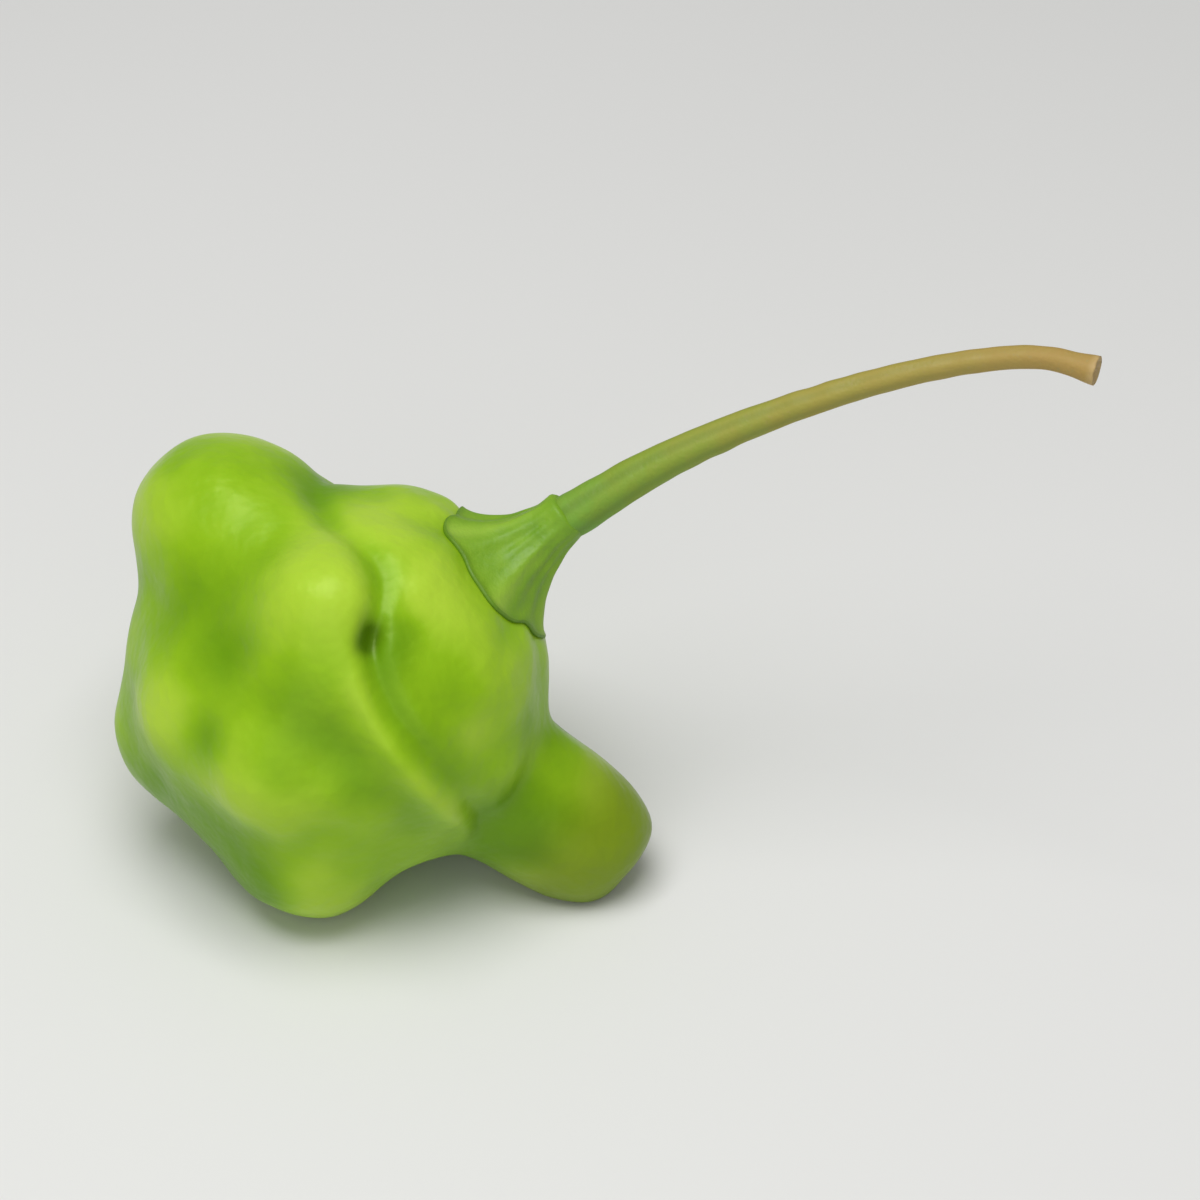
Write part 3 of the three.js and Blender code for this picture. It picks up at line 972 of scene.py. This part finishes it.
class CalyxSettings(bpy.types.PropertyGroup):
    rows: IntProperty(name="Rows", description="Rows of points down the outside", default=60)
    spokes: IntProperty(name="Spokes", description="Points round each row", default=240)
    rim_thickness: FloatProperty(
        name="Rim thickness", description="Thickness of the calyx at its rim",
        default=0.42 * MM, unit="LENGTH")
    rib_depth: FloatProperty(
        name="Rib depth", description="Height of the ribs that run up from the teeth",
        default=0.14 * MM, unit="LENGTH")
    low_colour: FloatVectorProperty(
        name="Deep colour", description="The calyx's deeper patches",
        default=to_linear("5C8A12"), size=4, subtype="COLOR")
    high_colour: FloatVectorProperty(
        name="Pale colour", description="The calyx's paler patches",
        default=to_linear("86AE24"), size=4, subtype="COLOR")
    rib_colour: FloatVectorProperty(
        name="Rib colour", description="The ribs of the calyx",
        default=to_linear("9CBF40"), size=4, subtype="COLOR")
    rim_shade_colour: FloatVectorProperty(
        name="Rim colour", description="The deeper green rim of the calyx",
        default=to_linear("5E8416"), size=4, subtype="COLOR")


class StemSettings(bpy.types.PropertyGroup):
    rows: IntProperty(name="Rows", description="Sections along the stem", default=260)
    spokes: IntProperty(name="Spokes", description="Points round each section", default=72)
    rib_share: FloatProperty(
        name="Rib share", description="Height of the stem's ribs as a share of its radius",
        default=0.035, subtype="FACTOR")
    base_colour: FloatVectorProperty(
        name="Base colour", description="The stem beside the calyx",
        default=to_linear("6E9B2D"), size=4, subtype="COLOR")
    low_colour: FloatVectorProperty(
        name="Lower colour", description="The stem's green stretch",
        default=to_linear("80962C"), size=4, subtype="COLOR")
    high_colour: FloatVectorProperty(
        name="Upper colour", description="The stem's olive stretch",
        default=to_linear("98903C"), size=4, subtype="COLOR")
    tip_colour: FloatVectorProperty(
        name="Tip colour", description="The stem's dried end",
        default=to_linear("A58848"), size=4, subtype="COLOR")
    cut_colour: FloatVectorProperty(
        name="Cut colour", description="The cut face of the stem",
        default=to_linear("B79C68"), size=4, subtype="COLOR")


class StageSettings(bpy.types.PropertyGroup):
    floor_size: FloatProperty(
        name="Floor size", description="Side of the square floor", default=3.0, unit="LENGTH")
    floor_colour: FloatVectorProperty(
        name="Floor colour", description="The studio board under the pepper",
        default=to_linear("E0E0DE"), size=4, subtype="COLOR")
    camera_height: FloatProperty(
        name="Camera height angle", description="How far the camera looks down",
        default=math.radians(38), unit="ROTATION")
    focal_length: FloatProperty(
        name="Focal length", description="The camera's lens", default=150, unit="CAMERA")
    frame_width: FloatProperty(
        name="Frame width", description="Width of the view at the pepper",
        default=94 * MM, unit="LENGTH")
    sky_strength: FloatProperty(
        name="Room light", description="Strength of the even light all round",
        default=0.3, subtype="FACTOR")
    key_size: FloatProperty(
        name="Key light size", description="Side of the large soft light overhead",
        default=0.3, unit="LENGTH")
    key_power: FloatProperty(
        name="Key light", description="Power of the large light overhead",
        default=1.6, unit="POWER")
    fill_power: FloatProperty(
        name="Fill light", description="Power of the weak light in front",
        default=0.6, unit="POWER")


class PEPPER_OT_pod(bpy.types.Operator):
    """Grow the pod: crown, brim of lobes, lower body and nose, with folds and a waxy skin"""

    bl_idname = "pepper.pod"
    bl_label = "Grow the pod"

    def execute(self, context):
        settings = context.scene.pepper_pod
        surface = pod_surface(settings)
        make_piece("pepper_pod", "pod", "skin", *surface, skin_material(settings))
        return {"FINISHED"}


class PEPPER_OT_calyx(bpy.types.Operator):
    """Grow the calyx: a ribbed cup with five teeth that hugs the crown"""

    bl_idname = "pepper.calyx"
    bl_label = "Grow the calyx"

    def execute(self, context):
        settings = context.scene.pepper_calyx
        surface = calyx_surface(settings, context.scene.pepper_pod)
        make_piece("pepper_calyx", "calyx", "calyx", *surface, calyx_material(settings))
        return {"FINISHED"}


class PEPPER_OT_stem(bpy.types.Operator):
    """Grow the stem: long, thin and curved, with soft ribs and a dried cut end"""

    bl_idname = "pepper.stem"
    bl_label = "Grow the stem"

    def execute(self, context):
        settings = context.scene.pepper_stem
        surface = stem_surface(settings)
        make_piece("pepper_stem", "stem", "stem", *surface, stem_material(settings))
        return {"FINISHED"}


def make_floor(settings, level):
    """A square of studio board at one level."""
    half = settings.floor_size / 2
    corners = [(x * half, y * half, level) for x, y in ((-1, -1), (1, -1), (1, 1), (-1, 1))]
    mesh = bpy.data.meshes.new("studio_floor")
    mesh.from_pydata(corners, [], [(0, 1, 2, 3)])
    mesh.materials.append(floor_material(settings))
    floor = bpy.data.objects.new("studio_floor", mesh)
    bpy.context.scene.collection.objects.link(floor)


def area_light(name, place, target, size, power):
    """A square soft light that faces the target."""
    light = bpy.data.lights.new(name, "AREA")
    light.size = size
    light.energy = power
    lamp = bpy.data.objects.new(name, light)
    lamp.location = place
    lamp.rotation_euler = (target - Vector(place)).to_track_quat("-Z", "Y").to_euler()
    bpy.context.scene.collection.objects.link(lamp)


def room_light(settings):
    """An even white light all round."""
    world = bpy.data.worlds.new("even room light")
    world.use_nodes = True
    room = {"Color": to_linear(ROOM_COLOUR), "Strength": settings.sky_strength}
    set_inputs(world.node_tree, world.node_tree.nodes["Background"], room)
    bpy.context.scene.world = world


def place_camera(settings, target):
    """The photograph's camera: it looks down at the target, from where the view there is
    frame_width wide: distance = frame width * focal length / sensor width."""
    lens = bpy.data.cameras.new("camera")
    lens.lens = settings.focal_length
    lens.clip_start = CAMERA_NEAR
    lens.clip_end = CAMERA_FAR
    camera = bpy.data.objects.new("camera", lens)
    angle = settings.camera_height
    back = Vector((0, -math.cos(angle), math.sin(angle)))
    camera.location = target + back * (settings.frame_width * lens.lens / lens.sensor_width)
    camera.rotation_euler = (-back).to_track_quat("-Z", "Y").to_euler()
    bpy.context.scene.collection.objects.link(camera)
    bpy.context.scene.camera = camera


class PEPPER_OT_stage(bpy.types.Operator):
    """Set the stage: a plain pale floor, soft studio light and the photograph's camera"""

    bl_idname = "pepper.stage"
    bl_label = "Set the stage"

    def execute(self, context):
        settings = context.scene.pepper_stage
        low, high = CAD_BOX
        centre = (low + high) / 2
        make_floor(settings, low.z - FLOOR_CLEARANCE * MM)
        room_light(settings)
        area_light("key_light", KEY_LIGHT_PLACE, centre, settings.key_size, settings.key_power)
        area_light("fill_light", FILL_LIGHT_PLACE, centre, FILL_LIGHT_SIZE, settings.fill_power)
        place_camera(settings, centre)
        context.scene.view_settings.view_transform = "Standard"
        return {"FINISHED"}


class PEPPER_PT_tools(bpy.types.Panel):
    bl_label = "Cachucha pepper"
    bl_idname = "PEPPER_PT_tools"
    bl_space_type = "VIEW_3D"
    bl_region_type = "UI"
    bl_category = "Pepper"

    def draw(self, context):
        scene = context.scene
        groups = (
            (scene.pepper_pod, PEPPER_OT_pod),
            (scene.pepper_calyx, PEPPER_OT_calyx),
            (scene.pepper_stem, PEPPER_OT_stem),
            (scene.pepper_stage, PEPPER_OT_stage),
        )
        for settings, operator in groups:
            box = self.layout.box()
            for key in settings.__annotations__:
                box.prop(settings, key)
            box.operator(operator.bl_idname)


SETTINGS = {
    "pepper_pod": PodSettings,
    "pepper_calyx": CalyxSettings,
    "pepper_stem": StemSettings,
    "pepper_stage": StageSettings,
}
OPERATORS = (PEPPER_OT_stage, PEPPER_OT_pod, PEPPER_OT_calyx, PEPPER_OT_stem)


def register():
    for name, group in SETTINGS.items():
        bpy.utils.register_class(group)
        setattr(bpy.types.Scene, name, PointerProperty(type=group))
    for operator in OPERATORS:
        bpy.utils.register_class(operator)
    bpy.utils.register_class(PEPPER_PT_tools)


def unregister():
    bpy.utils.unregister_class(PEPPER_PT_tools)
    for operator in reversed(OPERATORS):
        bpy.utils.unregister_class(operator)
    for name, group in reversed(SETTINGS.items()):
        delattr(bpy.types.Scene, name)
        bpy.utils.unregister_class(group)


def main():
    """Builds the pepper on its stage."""
    register()
    bpy.ops.pepper.stage()
    bpy.ops.pepper.pod()
    bpy.ops.pepper.calyx()
    bpy.ops.pepper.stem()


if __name__ == "__main__":
    main()
